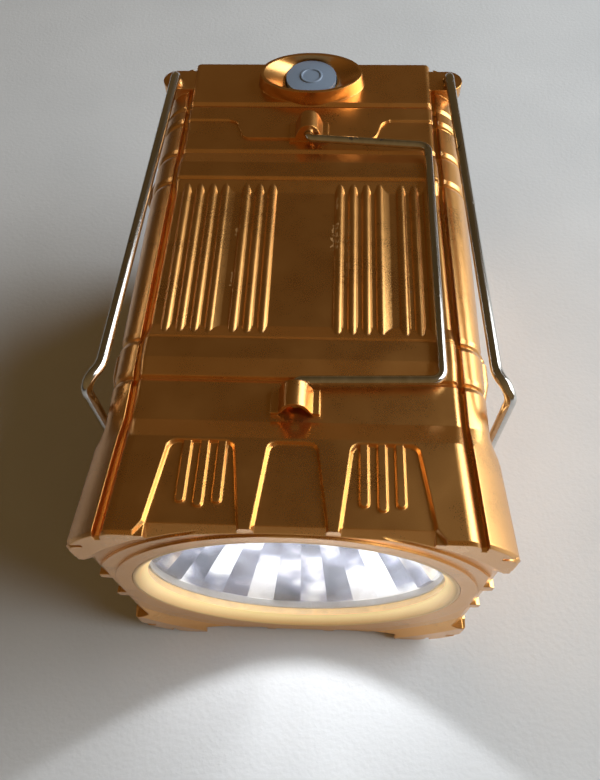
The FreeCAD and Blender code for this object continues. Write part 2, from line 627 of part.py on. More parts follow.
def body_shell():
    """Moulded shell: flared base, banded body, skirt, handle lugs and screw posts."""
    stations = [base_station(0, FRONT_HALF - FRONT_BEVEL), base_station(FRONT_BEVEL, FRONT_HALF),
                base_station(SHOULDER_Y, SHOULDER_HALF), (BODY_Y, BODY_HALF, PILLAR_HALF)]
    shell = moulding(stations + body_stations() + skirt_stations())
    shell = shell.cut([turned(cut, angle) for cut in base_windows() for angle in QUARTERS])
    raised = [turned(rib, angle) for rib in base_window_ribs() + panel_ribs() for angle in QUARTERS]
    raised += on_all_faces(skirt_tongue())
    raised += [handle_lug(upper_lug_y()), handle_lug(lower_lug_y())]
    shell = shell.fuse(raised)
    bore = HANDLE_WIRE + HANDLE_HOLE_GAP
    bore_length = LUG_LENGTH + 2 * LUG_GAP
    hollow = [front_rings(), disc(BEZEL_RADIUS + FIT_GAP, 0, BEZEL_SEAT_Y),
              disc(BEZEL_BARREL + FIT_GAP, 0, FRONT_WALL_Y + WALL),
              cavity(FRONT_WALL_Y, SHOULDER_Y - FRONT_WALL_Y, BASE_CAVITY_HALF, BASE_CAVITY_CORNER),
              cavity(SHOULDER_Y - WALL, LENGTH, BODY_CAVITY_HALF, BODY_CAVITY_CORNER),
              lug_hollow(lower_lug_y()), lug_hollow(upper_lug_y() + LUG_LENGTH - LUG_HOLLOW),
              disc(bore, upper_lug_y() - LUG_GAP, bore_length, 0, HANDLE_Z),
              disc(bore, lower_lug_y() - LUG_GAP, bore_length, 0, HANDLE_Z)]
    shell = shell.cut(hollow)
    posts = [disc(POST_RADIUS, FRONT_WALL_Y - WALL / 2, PARTITION_Y - FRONT_WALL_Y + WALL / 2, x, z)
             for x, z in POSTS]
    pilots = [disc(PILOT_RADIUS, PARTITION_Y - SCREW_LENGTH, 2 * SCREW_LENGTH, x, z) for x, z in POSTS]
    return shell.fuse(posts).cut(pilots).removeSplitter()


# Torch

def torch_bezel():
    """Ring with a sloping bore that holds the lens in the torch mouth."""
    seat = LENS_RADIUS + FIT_GAP
    return revolved([(BEZEL_RADIUS, BEZEL_FACE_Y), (BEZEL_RADIUS - BEZEL_LIP, BEZEL_FACE_Y),
                     (BEZEL_BORE, LENS_Y), (seat, LENS_Y), (seat, BEZEL_END_Y), (BEZEL_BARREL, BEZEL_END_Y),
                     (BEZEL_BARREL, BEZEL_SEAT_Y), (BEZEL_RADIUS, BEZEL_SEAT_Y)])


def torch_lens():
    return disc(LENS_RADIUS, LENS_Y, LENS_THICKNESS)


def lens_gasket():
    """Soft ring between the lens and the reflector's flange."""
    y = LENS_Y + LENS_THICKNESS
    inner = disc(LENS_RADIUS - GASKET_WIDTH, y, GASKET_THICKNESS)
    return disc(LENS_RADIUS, y, GASKET_THICKNESS).cut(inner)


REFLECTOR_Y = LENS_Y + LENS_THICKNESS + GASKET_THICKNESS
REFLECTOR_END_Y = REFLECTOR_Y + REFLECTOR_DEPTH


def reflector_ring(step, grow):
    """One ring of the faceted parabola, as a polygon grown by the wall."""
    along = step / REFLECTOR_RINGS
    radius = REFLECTOR_MOUTH + (REFLECTOR_THROAT - REFLECTOR_MOUTH) * along
    fall = (REFLECTOR_MOUTH ** 2 - radius ** 2) / (REFLECTOR_MOUTH ** 2 - REFLECTOR_THROAT ** 2)
    y = REFLECTOR_Y + REFLECTOR_DEPTH * fall
    corners = []
    for facet in range(REFLECTOR_FACETS):
        angle = 2 * math.pi * facet / REFLECTOR_FACETS
        corners.append(Vector((radius + grow) * math.cos(angle), y, (radius + grow) * math.sin(angle)))
    return Part.makePolygon(corners + corners[:1])


def torch_reflector():
    """Faceted bowl with a flat flange that the gasket presses on."""
    rings = range(REFLECTOR_RINGS + 1)
    outer = Part.makeLoft([reflector_ring(step, REFLECTOR_WALL) for step in rings], True, True)
    inner = Part.makeLoft([reflector_ring(step, 0) for step in rings], True, True)
    flange = disc(LENS_RADIUS, REFLECTOR_Y, REFLECTOR_FLANGE)
    return outer.fuse(flange).cut(inner)


def torch_led():
    """Square emitter with a domed lens, in the throat of the reflector."""
    half = LED_SIZE / 2
    base = block((-half, half), (REFLECTOR_END_Y - LED_THICKNESS, REFLECTOR_END_Y), (-half, half))
    dome = Part.makeSphere(LED_DOME_RADIUS, Vector(0, REFLECTOR_END_Y - LED_THICKNESS, 0), Y_AXIS * -1, 0, 90)
    return base.fuse(dome)


def torch_led_board():
    return disc(LED_BOARD_RADIUS, REFLECTOR_END_Y, LED_BOARD_THICKNESS)


def partition_plate():
    """Plate between torch and lamp space, with the seat that carries the LED board."""
    plate = cavity(PARTITION_Y, PARTITION_THICKNESS, BODY_CAVITY_HALF - FIT_GAP, BODY_CAVITY_CORNER - FIT_GAP)
    seat_y = REFLECTOR_END_Y + LED_BOARD_THICKNESS
    seat = disc(LED_BOARD_RADIUS, seat_y, PARTITION_Y - seat_y)
    holes = [disc(PILOT_RADIUS, PARTITION_Y - WALL, 3 * WALL, x, z) for x, z in POSTS]
    return plate.fuse(seat).cut(holes)


def screw(x, z, head_y, head_towards):
    """Round-headed screw along Y; head_towards is the side of head_y that the head lies on."""
    head_low = min(head_y, head_y + head_towards * SCREW_HEAD_HEIGHT)
    head = disc(SCREW_HEAD_RADIUS, head_low, SCREW_HEAD_HEIGHT, x, z)
    shank = disc(SCREW_RADIUS, min(head_y, head_y - head_towards * SCREW_LENGTH), SCREW_LENGTH, x, z)
    return head.fuse(shank)


def partition_screws():
    return Part.makeCompound([screw(x, z, PARTITION_Y + PARTITION_THICKNESS, 1) for x, z in POSTS])


# Lamp that the cap pulls out

GUIDE_Y = BODY_END_Y - GUIDE_TOP_GAP - GUIDE_THICKNESS
TUBE_Y = FOOT_Y + FOOT_THICKNESS


def guide_ring():
    """Plate in the shell's mouth that guides the tube and stops its foot."""
    plate = cavity(GUIDE_Y, GUIDE_THICKNESS, BODY_CAVITY_HALF - FIT_GAP, BODY_CAVITY_CORNER - FIT_GAP)
    return plate.cut(disc(TUBE_RADIUS + TUBE_GAP, GUIDE_Y - WALL, GUIDE_THICKNESS + 2 * WALL))


def lamp_tube():
    length = CAP_FLOOR_Y - TUBE_Y
    return disc(TUBE_RADIUS, TUBE_Y, length).cut(disc(TUBE_RADIUS - TUBE_WALL, TUBE_Y, length))


def tube_foot():
    """Disc that closes the tube: a spigot inside it and a stop flange outside it."""
    spigot = disc(TUBE_RADIUS - TUBE_WALL - FIT_GAP, TUBE_Y, FOOT_SPIGOT)
    return disc(FOOT_RADIUS, FOOT_Y, FOOT_THICKNESS).fuse(spigot)


def lamp_cone():
    """Cone on the tube's foot that spreads the lamp's light sideways."""
    return Part.makeCone(CONE_RADIUS, CONE_TIP, CONE_HEIGHT, Vector(0, TUBE_Y + FOOT_SPIGOT, 0), Y_AXIS)


def lamp_led_plate():
    return disc(LED_PLATE_RADIUS, CAP_FLOOR_Y - LED_PLATE_THICKNESS, LED_PLATE_THICKNESS)


def lamp_leds():
    """Ring of square emitters and one in the middle, facing the cone."""
    half = LAMP_LED_SIZE / 2
    top = CAP_FLOOR_Y - LED_PLATE_THICKNESS
    emitter = block((-half, half), (top - LAMP_LED_HEIGHT, top), (-half, half))
    leds = [emitter]
    for index in range(LAMP_LED_COUNT):
        angle = 360 * index / LAMP_LED_COUNT
        copy = emitter.copy()
        copy.translate(Vector(LAMP_LED_CIRCLE, 0, 0))
        leds.append(turned(copy, angle))
    return Part.makeCompound(leds)


# Cap

CAP_CAVITY_HALF = CAP_HALF - WALL
CAP_CAVITY_CORNER = cavity_corner(SEAM_Y, CAP_HALF, CAP_CAVITY_HALF)
CAP_ROOF_Y = LENGTH - SOLAR_THICKNESS - SOLAR_COVER - WALL
CAP_FLOOR_TOP = CAP_FLOOR_Y + CAP_FLOOR_THICKNESS
SOCKET_Y = COLLAR_Y
PIN_LOW = EAR_TOP - EAR_THICKNESS - PIN_STICK_OUT


def ear():
    """Rounded ear that carries one end of the right bail, on the front side."""
    foot = FACE_EDGE_CAP - EAR_RADIUS
    ear_low = EAR_TOP - EAR_THICKNESS
    tab = block((foot, PIVOT_X), (PIVOT_Y - EAR_RADIUS, PIVOT_Y + EAR_RADIUS), (ear_low, EAR_TOP))
    nose = Part.makeCylinder(EAR_RADIUS, EAR_THICKNESS, Vector(PIVOT_X, PIVOT_Y, ear_low), Z_AXIS)
    return tab.fuse(nose)


def four_ears(shape):
    """The right front ear's shape repeated on the left and on the back."""
    pair = [shape, mirrored_x(shape)]
    return pair + [copy.mirror(ORIGIN, Z_AXIS) for copy in pair]


def oval(long, short, z):
    """Oval wire around the button, in a plane of constant Z."""
    curve = Part.Ellipse(Vector(0, COLLAR_Y, z), long, short)
    return Part.Wire(curve.toShape())


def button_collar():
    """Oval cup around the button."""
    rim_z = CAP_HALF + COLLAR_HEIGHT
    foot = oval(COLLAR_LONG, COLLAR_SHORT, CAP_HALF - WALL / 2)
    rim = oval(COLLAR_LONG - COLLAR_DRAFT_LONG, COLLAR_SHORT - COLLAR_DRAFT_SHORT, rim_z)
    return Part.makeLoft([foot, rim], True)


def button_dish():
    """Space inside the cup, from the rim down to the button's hole."""
    rim = oval(COLLAR_LONG - COLLAR_DRAFT_LONG - COLLAR_RIM, COLLAR_SHORT - COLLAR_DRAFT_SHORT - COLLAR_RIM,
               CAP_HALF + COLLAR_HEIGHT)
    hole = BUTTON_RADIUS + BUTTON_GAP
    floor = oval(hole + DISH_LEDGE_LONG, hole + DISH_LEDGE_SHORT, CAP_HALF + COLLAR_DISH_FLOOR)
    return Part.makeLoft([floor, rim], True)


def button_hole(radius, low, high):
    return Part.makeCylinder(radius, high - low, Vector(0, COLLAR_Y, low), Z_AXIS)


def solar_pocket():
    return block((-SOLAR_HALF, SOLAR_HALF), (LENGTH - SOLAR_THICKNESS - SOLAR_COVER, LENGTH + WALL),
                 (-SOLAR_HALF, SOLAR_HALF))


def socket_block(grow, depth_grow):
    half_x = SOCKET_WIDTH / 2 + grow
    half_y = SOCKET_HEIGHT / 2 + grow
    return block((-half_x, half_x), (SOCKET_Y - half_y, SOCKET_Y + half_y),
                 (-CAP_HALF - depth_grow, -CAP_HALF + SOCKET_DEPTH))


def cap_shell():
    """Solar cap: moulded box with ears, button collar, posts and the socket's slot."""
    outline = [(CAP_START_Y, CAP_HALF - SEAM_ROUND), (CAP_START_Y + SEAM_ROUND, CAP_HALF),
               (LENGTH - SEAM_ROUND, CAP_HALF), (LENGTH, CAP_HALF - SEAM_ROUND)]
    shell = moulding([(y, half, half - CAP_PILLAR_SINK) for y, half in outline])
    shell = shell.fuse(four_ears(ear()) + [button_collar()])
    hole = BUTTON_RADIUS + BUTTON_GAP
    hollow = [cavity(CAP_START_Y - WALL, CAP_ROOF_Y - CAP_START_Y + WALL, CAP_CAVITY_HALF, CAP_CAVITY_CORNER),
              solar_pocket(), socket_block(SOCKET_GAP, WALL), button_dish(),
              button_hole(hole, CAP_CAVITY_HALF, CAP_HALF + COLLAR_DISH_FLOOR)]
    pin_hole = Part.makeCylinder(BAIL_WIRE + BAIL_HOLE_GAP, 2 * EAR_THICKNESS,
                                 Vector(PIVOT_X, PIVOT_Y, PIN_LOW - PIN_END_GAP), Z_AXIS)
    shell = shell.cut(hollow + four_ears(pin_hole))
    posts = [disc(CAP_POST_RADIUS, CAP_FLOOR_TOP, CAP_ROOF_Y - CAP_FLOOR_TOP + WALL / 2, x, z)
             for x, z in CAP_POSTS]
    pilots = [disc(PILOT_RADIUS, CAP_FLOOR_TOP - WALL, WALL + SCREW_LENGTH, x, z) for x, z in CAP_POSTS]
    return shell.fuse(posts).cut(pilots).removeSplitter()


def cap_floor():
    """Plate that closes the cap and carries the lamp tube."""
    plate = cavity(CAP_FLOOR_Y, CAP_FLOOR_THICKNESS, CAP_CAVITY_HALF - FIT_GAP, CAP_CAVITY_CORNER - FIT_GAP)
    holes = [disc(PILOT_RADIUS, CAP_FLOOR_Y - WALL, 3 * WALL, x, z) for x, z in CAP_POSTS]
    sinks = [disc(SCREW_HEAD_RADIUS + FIT_GAP, CAP_FLOOR_Y, SCREW_HEAD_HEIGHT, x, z) for x, z in CAP_POSTS]
    return plate.cut(holes + sinks)


def cap_screws():
    return Part.makeCompound([screw(x, z, CAP_FLOOR_Y + SCREW_HEAD_HEIGHT, -1) for x, z in CAP_POSTS])


def solar_panel():
    half = SOLAR_HALF - FIT_GAP
    low = LENGTH - SOLAR_THICKNESS - SOLAR_COVER
    return block((-half, half), (low, low + SOLAR_THICKNESS), (-half, half))


def solar_cover():
    half = SOLAR_HALF - FIT_GAP
    return block((-half, half), (LENGTH - SOLAR_COVER, LENGTH), (-half, half))


BUTTON_TAB_TOP = CAP_CAVITY_HALF - BUTTON_TAB_GAP
BUTTON_LOW = BUTTON_TAB_TOP - BUTTON_TAB_THICKNESS
SWITCH_TOP = BUTTON_LOW - BUTTON_TRAVEL - SWITCH_GAP
BOARD_TOP = SWITCH_TOP - SWITCH_HEIGHT


def power_button():
    """Slightly domed round button on a stem, with two tabs that keep it in the collar."""
    top = CAP_HALF + BUTTON_TOP
    ball = (BUTTON_RADIUS ** 2 + BUTTON_DOME ** 2) / (2 * BUTTON_DOME)
    crown = Part.makeSphere(ball, Vector(0, COLLAR_Y, top - ball))
    pad = button_hole(BUTTON_RADIUS, top - BUTTON_THICKNESS, top).common(crown)
    depth = (COLLAR_Y - BUTTON_TAB_HALF, COLLAR_Y + BUTTON_TAB_HALF)
    stem = block((-BUTTON_STEM_HALF, BUTTON_STEM_HALF), depth, (BUTTON_LOW, top - BUTTON_THICKNESS))
    reach = BUTTON_RADIUS + BUTTON_TAB
    tabs = block((-reach, reach), depth, (BUTTON_LOW, BUTTON_TAB_TOP))
    return pad.fuse([stem, tabs])


def push_switch():
    """Small switch under the button: a square case and a round plunger."""
    half = SWITCH_SIZE / 2
    case_top = SWITCH_TOP - SWITCH_HEIGHT / 4
    case = block((-half, half), (COLLAR_Y - half, COLLAR_Y + half), (BOARD_TOP, case_top))
    return case.fuse(button_hole(half / 2, BOARD_TOP, SWITCH_TOP))


def control_board():
    """Circuit board that stands on the cap's floor behind the button."""
    return block((-BOARD_HALF, BOARD_HALF), (CAP_FLOOR_TOP, CAP_FLOOR_TOP + BOARD_LENGTH),
                 (BOARD_TOP - BOARD_THICKNESS, BOARD_TOP))


def battery_cell():
    """Flat pouch cell on the cap's floor."""
    cell = block((-CELL_HALF_X, CELL_HALF_X), (CAP_FLOOR_TOP, CAP_FLOOR_TOP + CELL_THICKNESS),
                 (-CELL_HALF_Z, CELL_HALF_Z))
    upright = [edge for edge in cell.Edges if abs(edge.tangentAt(edge.FirstParameter).y) > 0.9]
    return cell.makeFillet(CELL_THICKNESS / 2, upright)


def usb_socket():
    """Charging socket in the back of the cap: an open metal box with a tongue inside."""
    mouth = block((-SOCKET_WIDTH / 2 + SOCKET_WALL, SOCKET_WIDTH / 2 - SOCKET_WALL),
                  (SOCKET_Y - SOCKET_HEIGHT / 2 + SOCKET_WALL, SOCKET_Y + SOCKET_HEIGHT / 2 - SOCKET_WALL),
                  (-CAP_HALF - WALL, -CAP_HALF + SOCKET_DEPTH - SOCKET_WALL))
    tongue = block((-SOCKET_WIDTH / 4, SOCKET_WIDTH / 4), (SOCKET_Y, SOCKET_Y + 2 * SOCKET_WALL),
                   (-CAP_HALF + SOCKET_WALL, -CAP_HALF + SOCKET_DEPTH - SOCKET_WALL / 2))
    return socket_block(0, 0).cut(mouth).fuse(tongue)


# Wires

def bail_right():
    """Wire bail folded along the right side: pins in both ears, kinked legs and a crossbar."""
    upper = [Vector(PIVOT_X, PIVOT_Y, PIN_LOW), Vector(PIVOT_X, PIVOT_Y, BAIL_LEG_Z),
             Vector(*BAIL_KNEE, BAIL_LEG_Z), Vector(*BAIL_END, BAIL_LEG_Z)]
    lower = [Vector(point.x, point.y, -point.z) for point in reversed(upper)]
    bends = [BAIL_PIN_BEND, BAIL_KNEE_BEND, BAIL_END_BEND]
    return bent_wire(upper + lower, bends + bends[::-1], BAIL_WIRE)


def front_handle():
    """Wire handle on the front face, hinged along Y and folded to the right."""
    points = [Vector(0, HANDLE_FAR_Y + HANDLE_WIRE + LUG_GAP + HANDLE_PIN, HANDLE_Z),
              Vector(0, HANDLE_FAR_Y, HANDLE_Z),
              Vector(HANDLE_REACH, HANDLE_FAR_Y - HANDLE_FAR_DROP, HANDLE_Z),
              Vector(HANDLE_REACH, HANDLE_NEAR_Y + HANDLE_NEAR_RISE, HANDLE_Z),
              Vector(0, HANDLE_NEAR_Y, HANDLE_Z),
              Vector(0, HANDLE_NEAR_Y - HANDLE_WIRE - LUG_GAP - HANDLE_PIN, HANDLE_Z)]
    pin_bend = LUG_GAP + HANDLE_WIRE
    return bent_wire(points, [pin_bend, HANDLE_BEND, HANDLE_BEND, pin_bend], HANDLE_WIRE)


PIECES = {
    "body_shell": body_shell(),
    "torch_bezel": torch_bezel(),
    "torch_lens": torch_lens(),
    "lens_gasket": lens_gasket(),
    "torch_reflector": torch_reflector(),
    "torch_led": torch_led(),
    "torch_led_board": torch_led_board(),
    "partition_plate": partition_plate(),
    "partition_screws": partition_screws(),
    "guide_ring": guide_ring(),
    "lamp_tube": lamp_tube(),
    "tube_foot": tube_foot(),
    "lamp_cone": lamp_cone(),
    "lamp_led_plate": lamp_led_plate(),
    "lamp_leds": lamp_leds(),
    "cap_shell": cap_shell(),
    "cap_floor": cap_floor(),
    "cap_screws": cap_screws(),
    "solar_panel": solar_panel(),
    "solar_cover": solar_cover(),
    "battery_cell": battery_cell(),
    "control_board": control_board(),
    "push_switch": push_switch(),
    "usb_socket": usb_socket(),
    "power_button": power_button(),
    "bail_right": bail_right(),
    "bail_left": mirrored_x(bail_right()),
    "front_handle": front_handle(),
}

# Stand the lantern's lowest middle point on the origin
TO_ORIGIN = Vector(0, -LENGTH / 2, FRONT_HALF)
for name, shape in PIECES.items():
    shape.translate(TO_ORIGIN)
    shape.exportStep("parts/" + name + ".step")
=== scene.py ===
"""Looks of the pull-up camping lantern: camera, soft studio light, paints, metals and small signs."""

import math

import bmesh
import bpy
from mathutils import Matrix, Vector


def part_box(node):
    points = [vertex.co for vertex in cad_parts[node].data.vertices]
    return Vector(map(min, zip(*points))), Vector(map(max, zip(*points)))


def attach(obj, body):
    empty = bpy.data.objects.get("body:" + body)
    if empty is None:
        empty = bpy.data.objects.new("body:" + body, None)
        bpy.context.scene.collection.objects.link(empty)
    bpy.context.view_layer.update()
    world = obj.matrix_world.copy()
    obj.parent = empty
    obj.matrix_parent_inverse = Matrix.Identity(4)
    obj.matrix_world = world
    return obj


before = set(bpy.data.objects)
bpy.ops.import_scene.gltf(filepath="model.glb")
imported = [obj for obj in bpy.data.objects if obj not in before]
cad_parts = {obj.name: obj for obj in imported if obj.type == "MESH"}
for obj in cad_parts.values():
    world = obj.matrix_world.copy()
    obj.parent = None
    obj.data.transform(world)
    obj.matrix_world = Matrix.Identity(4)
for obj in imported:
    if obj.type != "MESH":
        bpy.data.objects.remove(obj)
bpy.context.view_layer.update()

MM = 0.001

# Camera at the photograph's viewing angle
CAMERA_PLACE = (0.00701, -0.10662, 0.21038)
CAMERA_PITCH = 1.054132        # downwards from the level
CAMERA_YAW = -0.0866331        # to the left of +Y
CAMERA_ROLL = -0.0526193
CAMERA_LENS = 33.25
CAMERA_SENSOR = 36.0
CAMERA_NEAR = 0.005

# Soft light of the world: share of the way from the front to the back, and its strength there
WORLD_COLOUR = (1.0, 0.63, 0.25)
WORLD_STEPS = ((0.0, 0.190), (0.80, 0.072), (0.86, 0.074), (0.93, 0.130), (1.0, 0.11))

# Window lamp on the right, and the floor
WINDOW_PLACE = (0.92, 0.12, 0.54)
WINDOW_AIM = (0.06, 0.0, 0.0)
WINDOW_SIZE = (1.10, 0.95)
WINDOW_POWER = 10.0
WINDOW_COLOUR = (0.92, 0.97, 1.0)
WINDOW_SPREAD = 130.0          # degrees
FLOOR_SIZE = 4.0
FLOOR_DROP = 0.0002            # keeps the floor just clear of the lantern's back
FLOOR_PALE = (0.70, 0.725, 0.75)
FLOOR_SHADE = (0.64, 0.665, 0.69)
FLOOR_PAINTED_SHADE_SPAN = (-0.40, -0.20)    # X over which the floor's colour darkens into painted shade on the left side
FLOOR_PAINTED_SHADE = (0.08, 0.083, 0.086)

# The torch, switched on
AXIS_HEIGHT = 0.0434           # the lantern's own axis above the floor
TORCH_PLACE = (0.005, -0.040, AXIS_HEIGHT)
TORCH_AIM = (0.001, -0.120, AXIS_HEIGHT)
TORCH_POWER = 0.235
TORCH_CONE = 104.0             # degrees
TORCH_EDGE = 0.05              # softness of the cone's rim
TORCH_RADIUS = 0.0025
TORCH_COLOUR = (0.97, 0.98, 1.0)
EMITTER_STRENGTH = 2.5
# Painted reflection in the reflector: number of facets and strength of the emission streaks painted on them
REFLECTOR_FACETS = 28
PAINTED_STREAK_STRENGTH = 0.60
# Painted glow on the bezel's bore: emission colour and strength standing in for the torch light it catches
PAINTED_BORE_GLOW = (1.0, 0.80, 0.42)
PAINTED_BORE_STRENGTH = 0.55
PAINTED_BORE_RADII = (0.0364, 0.0344)  # outside and inside of the painted glow on the bore round the lens

# Fine prisms round the lamp tube
TUBE_PRISMS = 60

# Solar cells: half the pitch and half the width of the wide and the fine silver lines
BUS_PITCH, BUS_WIDTH = 0.0070, 0.00035
FINGER_PITCH, FINGER_WIDTH = 0.0010, 0.00007

# Colours of the paint, linear
GOLD = (0.85, 0.44, 0.135)
GOLD_DEEP = (0.78, 0.365, 0.095)
GOLD_PALE = (0.92, 0.62, 0.24)
WORN = (0.66, 0.38, 0.15)
LINT_COLOUR = (0.62, 0.60, 0.56)

# Raised sign on the button
BUTTON_Y = 0.0585              # middle of the button
SIGN_RADIUS = 2.6 * MM
SIGN_HALF_WIDTH = 0.42 * MM
SIGN_HEIGHT = 0.30 * MM
SIGN_SINK = 0.10 * MM
SIGN_STEPS = 56
SIGN_SIDES = 10

# Rubbed paint along some ribs: X of the line, the Y between which it runs, and its half width
RUBS = ((0.0071, 0.0024, 0.0100, 0.0010),
        (0.0074, 0.0144, 0.0179, 0.0004),
        (0.0103, -0.0054, 0.0116, 0.0004),
        (-0.0158, 0.0060, 0.0087, 0.0004),
        (-0.0157, -0.0083, -0.0043, 0.0004))
RUB_LEVEL = 0.0825             # only above this height, on the front face

# Specks of dust: how dense their grid is, their size in it, and the share of the grid that holds one
LINT_SCALE = 170
LINT_SIZE = 0.016
LINT_SHARE = 0.10


def add_lamp(name, kind, place, aim, power, colour):
    """Lamp at a place, turned towards its aim."""
    lamp = bpy.data.lights.new(name, kind)
    lamp.energy = power
    lamp.color = colour
    holder = bpy.data.objects.new(name, lamp)
    bpy.context.collection.objects.link(holder)
    holder.location = place
    holder.rotation_euler = (Vector(aim) - Vector(place)).to_track_quat("-Z", "Y").to_euler()
    return lamp


def studio_world():
    """Warm soft light, stronger from the front than from above and behind."""
    world = bpy.data.worlds.new("studio")
    bpy.context.scene.world = world
    world.use_nodes = True
    tree = world.node_tree
    background = tree.nodes["Background"]
    background.inputs["Color"].default_value = (*WORLD_COLOUR, 1)
    direction = tree.nodes.new("ShaderNodeTexCoord")
    parts = tree.nodes.new("ShaderNodeSeparateXYZ")
    share = tree.nodes.new("ShaderNodeMapRange")
    share.inputs["From Min"].default_value = -1.0
    strength = tree.nodes.new("ShaderNodeValToRGB")
    steps = strength.color_ramp.elements
    while len(steps) < len(WORLD_STEPS):
        steps.new(0.5)
    for step, (place, value) in zip(steps, WORLD_STEPS):
        step.position = place
        step.color = (value, value, value, 1)
    tree.links.new(direction.outputs["Generated"], parts.inputs[0])
    tree.links.new(parts.outputs["Y"], share.inputs["Value"])
    tree.links.new(share.outputs["Result"], strength.inputs["Fac"])
    tree.links.new(strength.outputs["Color"], background.inputs["Strength"])


def lamps():
    """Large window lamp on the right, and the torch's own beam."""
    window = add_lamp("window", "AREA", WINDOW_PLACE, WINDOW_AIM, WINDOW_POWER, WINDOW_COLOUR)
    window.shape = "RECTANGLE"
    window.size, window.size_y = WINDOW_SIZE
    window.spread = math.radians(WINDOW_SPREAD)

    torch = add_lamp("torch", "SPOT", TORCH_PLACE, TORCH_AIM, TORCH_POWER, TORCH_COLOUR)
    torch.spot_size = math.radians(TORCH_CONE)
    torch.spot_blend = TORCH_EDGE
    torch.shadow_soft_size = TORCH_RADIUS


def pale_floor():
    """Square floor under the lantern."""
    mesh = bpy.data.meshes.new("floor")
    half = FLOOR_SIZE / 2
    corners = [(-half, -half, 0), (half, -half, 0), (half, half, 0), (-half, half, 0)]
    mesh.from_pydata(corners, [], [(0, 1, 2, 3)])
    floor = bpy.data.objects.new("floor", mesh)
    bpy.context.collection.objects.link(floor)
    floor.location.z = -FLOOR_DROP
    mesh.materials.append(floor_material())


def camera():
    """Camera from its place, pitch, yaw and roll."""
    pitch, yaw, roll = CAMERA_PITCH, CAMERA_YAW, CAMERA_ROLL
    forward = Vector((math.sin(yaw) * math.cos(pitch), math.cos(yaw) * math.cos(pitch), -math.sin(pitch)))
    level = Vector((math.cos(yaw), -math.sin(yaw), 0))
    upright = level.cross(forward)
    right = math.cos(roll) * level + math.sin(roll) * upright
    up = math.cos(roll) * upright - math.sin(roll) * level
    data = bpy.data.cameras.new("camera")
    data.lens = CAMERA_LENS
    data.sensor_width = CAMERA_SENSOR
    data.clip_start = CAMERA_NEAR
    eye = bpy.data.objects.new("camera", data)
    bpy.context.collection.objects.link(eye)
    turn = Matrix((right, up, -forward)).transposed()
    eye.matrix_world = Matrix.Translation(CAMERA_PLACE) @ turn.to_4x4()
    bpy.context.scene.camera = eye


class Paint:
    """A material's node tree with short helpers."""

    def __init__(self, name):
        self.material = bpy.data.materials.new(name)
        self.material.use_nodes = True
        self.tree = self.material.node_tree
        self.shader = self.tree.nodes["Principled BSDF"]
        self.places = self.node("ShaderNodeTexCoord").outputs["Object"]

    def node(self, kind, **settings):
        node = self.tree.nodes.new(kind)
        for key, value in settings.items():
            setattr(node, key, value)
        return node

    def link(self, source, target):
        self.tree.links.new(source, target)

    def set(self, **values):
        for key, value in values.items():
            self.shader.inputs[key.replace("_", " ")].default_value = value

    def stretched(self, scale):
        mapping = self.node("ShaderNodeMapping")
        mapping.inputs["Scale"].default_value = scale
        self.link(self.places, mapping.inputs["Vector"])
        return mapping.outputs["Vector"]

    def split(self):
        parts = self.node("ShaderNodeSeparateXYZ")
        self.link(self.places, parts.inputs[0])
        return parts.outputs[0], parts.outputs[1], parts.outputs[2]

    def polar(self):
        """Radius and angle round the lantern's own axis, the angle from straight down."""
        x, _, z = self.split()
        down = self.maths("SUBTRACT", AXIS_HEIGHT, z)
        square = self.maths("ADD", self.maths("MULTIPLY", x, x), self.maths("MULTIPLY", down, down))
        return self.maths("SQRT", square, 0), self.maths("ARCTAN2", x, down)

    def noise(self, scale, detail, places=None):
        noise = self.node("ShaderNodeTexNoise")
        noise.inputs["Scale"].default_value = scale
        noise.inputs["Detail"].default_value = detail
        self.link(places or self.places, noise.inputs["Vector"])
        return noise.outputs["Fac"]

    def ramp(self, factor, stops):
        ramp = self.node("ShaderNodeValToRGB")
        points = ramp.color_ramp.elements
        while len(points) < len(stops):
            points.new(1.0)
        for point, (place, colour) in zip(points, stops):
            point.position = place
            point.color = (*colour, 1)
        self.link(factor, ramp.inputs["Fac"])
        return ramp.outputs["Color"]

    def range(self, value, low, high, to_low, to_high):
        scale = self.node("ShaderNodeMapRange")
        limits = (("From Min", low), ("From Max", high), ("To Min", to_low), ("To Max", to_high))
        for name, number in limits:
            scale.inputs[name].default_value = number
        self.link(value, scale.inputs["Value"])
        return scale.outputs["Result"]

    def maths(self, operation, first, second):
        node = self.node("ShaderNodeMath", operation=operation)
        for socket, value in zip(node.inputs, (first, second)):
            if isinstance(value, (int, float)):
                socket.default_value = value
            else:
                self.link(value, socket)
        return node.outputs["Value"]

    def mix(self, factor, first, second):
        mix = self.node("ShaderNodeMix", data_type="RGBA")
        self.link(factor, mix.inputs[0])
        for socket, value in ((mix.inputs[6], first), (mix.inputs[7], second)):
            if isinstance(value, tuple):
                socket.default_value = (*value, 1)
            else:
                self.link(value, socket)
        return mix.outputs[2]

    def bump(self, height, strength, distance, edge=None):
        bump = self.node("ShaderNodeBump")
        bump.inputs["Strength"].default_value = strength
        bump.inputs["Distance"].default_value = distance
        self.link(height, bump.inputs["Height"])
        if edge:
            bevel = self.node("ShaderNodeBevel", samples=6)
            bevel.inputs["Radius"].default_value = edge
            self.link(bevel.outputs["Normal"], bump.inputs["Normal"])
        self.link(bump.outputs["Normal"], self.shader.inputs["Normal"])


def floor_material():
    """Pale, softly mottled table top with a fine tooth, its colour darkening in painted shade towards the
    left.
    """
    paint = Paint("floor")
    x, _, _ = paint.split()
    mottle = paint.ramp(paint.noise(18, 3), [(0.3, FLOOR_SHADE), (0.7, FLOOR_PALE)])
    # painted shade: colour darkens to the left in place of the light falling off
    painted_shade = paint.range(x, *FLOOR_PAINTED_SHADE_SPAN, 0.0, 1.0)
    paint.link(paint.mix(painted_shade, FLOOR_PAINTED_SHADE, mottle), paint.shader.inputs["Base Color"])
    paint.set(Roughness=0.75)
    paint.bump(paint.noise(700, 4), 0.25, 0.0004)
    return paint.material


